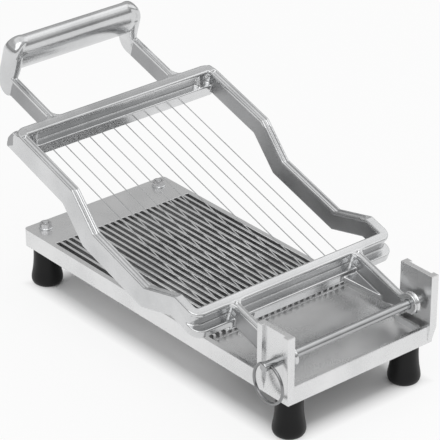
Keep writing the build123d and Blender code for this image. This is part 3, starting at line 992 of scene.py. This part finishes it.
@dataclass
class Fasteners:
    """Studs, washers and nuts that hold the feet."""

    stud_r: float = 2.1
    stud_steps: int = 40
    pitch: float = 0.7
    plate_r: float = 6.0
    plate_t: float = 2.0
    plate_edge: float = 0.3
    washer: Point = (2.2, 4.7)
    washer_edge: Triple = (0.15, 0.2, 0.3)
    washer_steps: int = 48
    nut: Nut = Nut(7.2, 2.12, 11.0, 0.6)
    nut_t: float = 3.0
    thread_past: float = 0.4

    def studs(self) -> None:
        """Makes each stud, with the plate that sits in the rubber."""
        rim, edge = self.plate_r, self.plate_edge
        for node in four("foot_stud"):
            z0, z1 = levels(node)
            if "rear" in node:
                z1 = levels("foot_nuts")[0] + self.nut_t + self.thread_past
            top = z0 + self.plate_t
            rod = threaded(self.stud_r, top, z1, self.pitch)
            bm = bmesh.new()
            spun(bm, [(0.0, z0), (rim - edge, z0), (rim, z0 + edge), (rim, top - edge),
                      (rim - edge, top), *rod[1:]], self.stud_steps)
            piece(node, to_mesh(bm, node, upright(node)), "base", [ZINC], sharp=30.0)

    def build(self) -> None:
        """Makes the studs, the two washers and the two nuts."""
        self.studs()
        spots = [Vector((x, y, 0.0)) / MM for x, y, _ in map(middle, four("foot_stud")[2:])]
        inner, outer = self.washer
        fine, foot, edge = self.washer_edge
        z0, z1 = levels("foot_washers")
        section = [(inner, z0), (outer - fine, z0), (outer, z0 + foot), (outer, z1 - edge),
                   (outer - edge, z1), (inner + fine, z1), (inner, z1 - fine)]
        bm = bmesh.new()
        for spot in spots:
            sweep(bm, section, turns(Matrix.Translation(spot), self.washer_steps), closed=True)
        piece("foot_washers", to_mesh(bm, "washers", TO_METRES), "base",
              [ZINC], sharp=30.0)
        z0, _ = levels("foot_nuts")
        bm = bmesh.new()
        for spot in spots:
            bmesh.ops.translate(bm, verts=self.nut.add(bm, z0, z0 + self.nut_t), vec=spot)
        piece("foot_nuts", to_mesh(bm, "nuts", TO_METRES), "base", [NICKEL],
              sharp=25.0)


# ---- wires
@dataclass
class Wires:
    """Twelve cutting wires with a ferrule at one end and a tension stud and nut at the other."""

    count: int = 12
    pitch: float = 10.0
    radius: float = 0.35
    wire_steps: int = 12
    end_steps: int = 24
    line: Line = ((53.2, -17.5), (233.7, -17.5), (234.2, -17.25), (236.1, -14.05),
                  (236.6, -13.6), (239.5, -13.6))
    ferrule: Triple = (52.7, 58.7, 1.0)
    ferrule_n: float = -17.5
    ferrule_edge: float = 0.2
    cup: float = 0.5
    crimps: Triple = (1.2, 2.6, 4.0)
    crimp: Line = ((0.0, 0.0), (0.25, 0.18), (0.55, 0.18), (0.8, 0.0))
    stud: Triple = (237.5, 243.4, 1.5)
    stud_n: float = -13.6
    thread: float = 0.5
    nut: Nut = Nut(5.5, 1.52, 30.0, 0.4)
    nut_s: Point = (241.0, 243.0)

    def spots(self) -> list[float]:
        """Places of the wires across."""
        return [self.pitch * (i - (self.count - 1) / 2) for i in range(self.count)]

    def wire(self, name: str, x: float, place: Matrix) -> None:
        """One wire, bent where it runs up to its stud."""
        stations = []
        for i, (s, n) in enumerate(self.line):
            before, after = self.line[max(i - 1, 0)], self.line[min(i + 1, len(self.line) - 1)]
            tilt = math.atan2(after[1] - before[1], after[0] - before[0])
            stations.append(Matrix.Translation((x, s, n)) @ Matrix.Rotation(tilt, 4, "X"))
        bm = bmesh.new()
        sweep(bm, around(self.radius, self.wire_steps), stations)
        piece(name, to_mesh(bm, name, place), "frame", [DRAWN])

    def along(self, x: float, n: float) -> Matrix:
        """Turns a part made about Z to lie along s at one wire."""
        return Matrix.Translation((x, 0.0, n)) @ Matrix.Rotation(-QUARTER, 4, "X")

    def row(self, name: str, profile: Sequence[Point], n: float, place: Matrix) -> None:
        """A row of equal turned parts, one for each wire."""
        bm = bmesh.new()
        for x in self.spots():
            one = bmesh.new()
            spun(one, profile, self.end_steps)
            spare = to_mesh(one, "spare", self.along(x, n))
            bm.from_mesh(spare)
            bpy.data.meshes.remove(spare)
        piece(name, to_mesh(bm, name, place), "frame", [ZINC], sharp=30.0)

    def build(self, place: Matrix) -> None:
        """Makes the wires and all their ends.

        Args:
            place: From the frame's flat millimetres to its raised place.
        """
        for i, x in enumerate(self.spots()):
            self.wire(f"wire_{i + 1:02d}", x, place)
        (s0, s1, r), edge = self.ferrule, self.ferrule_edge
        grip = [(0.0, s0), (r - edge, s0), (r, s0 + edge)]
        for start in self.crimps:
            grip += [(r - deep, s0 + start + run) for run, deep in self.crimp]
        grip += [(r, s1 - edge), (r - edge, s1), (self.radius, s1), (self.radius, s1 - self.cup),
                 (0.0, s1 - self.cup)]
        self.row("wire_ferrules", grip, self.ferrule_n, place)
        s0, s1, r = self.stud
        self.row("tension_studs", threaded(r, s0, s1, self.thread), self.stud_n, place)
        bm = bmesh.new()
        for x in self.spots():
            bmesh.ops.transform(bm, matrix=self.along(x, self.stud_n),
                                verts=self.nut.add(bm, *self.nut_s))
        piece("tension_nuts", to_mesh(bm, "tension_nuts", place), "frame", [ZINC],
              sharp=25.0)


# ---- studio
@dataclass
class Studio:
    """Pale floor, soft lamps and the camera."""

    target: Triple = (0.0, -0.0296, 0.029)
    azimuth: float = 319.42
    elevation: float = 29.68
    roll: float = 0.18
    distance: float = 1.64
    lens: float = 207.4
    clip: Point = (0.05, 40.0)
    off_axis: Point = (-0.0062, 0.0313)
    sky: Line = ((0.0, 0.62), (0.05, 0.26), (0.20, 0.30), (0.40, 0.62), (0.58, 0.56),
                 (0.74, 0.50), (0.86, 0.96), (0.93, 0.98), (1.0, 0.80))
    floor_half: float = 10.0
    floor_z: float = -0.0002
    floor_tone: float = 0.86
    floor_rough: float = 0.9
    floor_white: float = 0.86
    footprint: tuple[tuple[str, float, float], ...] = (("X", 0.0, 0.060), ("Y", -0.016, 0.132))
    fade: Point = (-0.012, 0.004)
    lamps: tuple[tuple[str, Triple, float, float], ...] = (
        ("key", (-1.2, -1.0, 1.8), 2.2, 18.0), ("fill", (1.6, -0.4, 1.2), 2.0, 7.0))

    def camera(self) -> None:
        """Long lens at the slicer's front left, looking down."""
        a, e = math.radians(self.azimuth), math.radians(self.elevation)
        back = Vector((math.sin(a) * math.cos(e), -math.cos(a) * math.cos(e), math.sin(e)))
        right = (-back).cross(Vector((0.0, 0.0, 1.0))).normalized()
        up = right.cross(-back)
        ahead = (-back + right * self.off_axis[0] + up * self.off_axis[1]).normalized()
        data = bpy.data.cameras.new("camera")
        data.lens = self.lens
        data.clip_start, data.clip_end = self.clip
        made = shown("camera", data)
        made.location = Vector(self.target) + back * self.distance
        made.rotation_mode = "QUATERNION"
        turn = Matrix.Rotation(math.radians(self.roll), 4, "Z").to_quaternion()
        made.rotation_quaternion = ahead.to_track_quat("-Z", "Y") @ turn
        bpy.context.scene.camera = made

    def lamp(self, name: str, place: Triple, size: float, power: float) -> None:
        """One square soft lamp that faces the slicer."""
        data = bpy.data.lights.new(name, "AREA")
        data.size = size
        data.energy = power
        made = shown(name, data)
        made.location = place
        made.rotation_mode = "QUATERNION"
        made.rotation_quaternion = (Vector(self.target) - Vector(place)).to_track_quat("-Z", "Y")

    def world(self) -> None:
        """Soft surround: grey low down, and pale overhead."""
        made = bpy.data.worlds.new("studio")
        made.use_nodes = True
        tree = made.node_tree
        way = tree.nodes.new("ShaderNodeTexCoord").outputs["Generated"]
        height = link(tree, "ShaderNodeSeparateXYZ", Vector=way)
        bands = link(tree, "ShaderNodeValToRGB", Fac=height.outputs["Z"])
        stops = bands.color_ramp.elements
        while len(stops) < len(self.sky):
            stops.new(0.5)
        for stop, (place, shade) in zip(stops, self.sky):
            stop.position = place
            stop.color = (shade, shade, shade, 1.0)
        feed(tree, tree.nodes["Background"].inputs["Color"], bands.outputs["Color"])
        bpy.context.scene.world = made

    def outside(self, tree: NodeTree) -> NodeSocket:
        """Pattern on the floor: 0 under the slicer, 1 away from it."""
        place = tree.nodes.new("ShaderNodeTexCoord").outputs["Object"]
        parts = link(tree, "ShaderNodeSeparateXYZ", Vector=place).outputs
        away = []
        for axis, centre, half in self.footprint:
            size = maths(tree, "ABSOLUTE", maths(tree, "SUBTRACT", parts[axis], centre))
            away.append(ramp(tree, size, (half + self.fade[0], half + self.fade[1]), (0.0, 1.0)))
        return maths(tree, "MAXIMUM", *away)

    def floor(self) -> None:
        """Plain pale floor that keeps the slicer's shadow."""
        bm = bmesh.new()
        bmesh.ops.create_grid(bm, x_segments=1, y_segments=1, size=self.floor_half)
        level = Matrix.Translation((0.0, 0.0, self.floor_z))
        made = shown("floor", to_mesh(bm, "floor", level))
        paint = bpy.data.materials.new("floor")
        paint.use_nodes = True
        tree = paint.node_tree
        shader = tree.nodes["Principled BSDF"]
        shader.inputs["Base Color"].default_value = (*[self.floor_tone] * 3, 1.0)
        shader.inputs["Roughness"].default_value = self.floor_rough
        rays = tree.nodes.new("ShaderNodeLightPath").outputs
        seen = rays["Is Camera Ray"]
        for ray in ("Is Glossy Ray", "Is Transmission Ray"):
            seen = maths(tree, "MAXIMUM", seen, rays[ray])
        white = link(tree, "ShaderNodeEmission", Color=(1.0, 1.0, 1.0, 1.0), Strength=1.0)
        share = maths(tree, "MULTIPLY", ramp(tree, seen, (0.0, 1.0), (0.0, self.floor_white)),
                      self.outside(tree))
        mix = link(tree, "ShaderNodeMixShader", Fac=share)
        feed(tree, mix.inputs[1], shader.outputs[0])
        feed(tree, mix.inputs[2], white.outputs[0])
        feed(tree, tree.nodes["Material Output"].inputs["Surface"], mix.outputs[0])
        made.data.materials.append(paint)

    def build(self) -> None:
        """Sets up the whole studio."""
        self.camera()
        self.world()
        self.floor()
        for lamp in self.lamps:
            self.lamp(*lamp)
        bpy.context.scene.view_settings.view_transform = "Standard"


def main() -> None:
    """Builds the slicer, sub-assembly by sub-assembly, and the studio."""
    logging.basicConfig(level=logging.INFO, format="%(message)s")
    BaseCasting().build()
    Feet().build()
    Fasteners().build()
    cutting = CuttingFrame()
    cutting.build()
    Wires().build(cutting.place)
    PullPin().build()
    Studio().build()


if __name__ == "__main__":
    main()
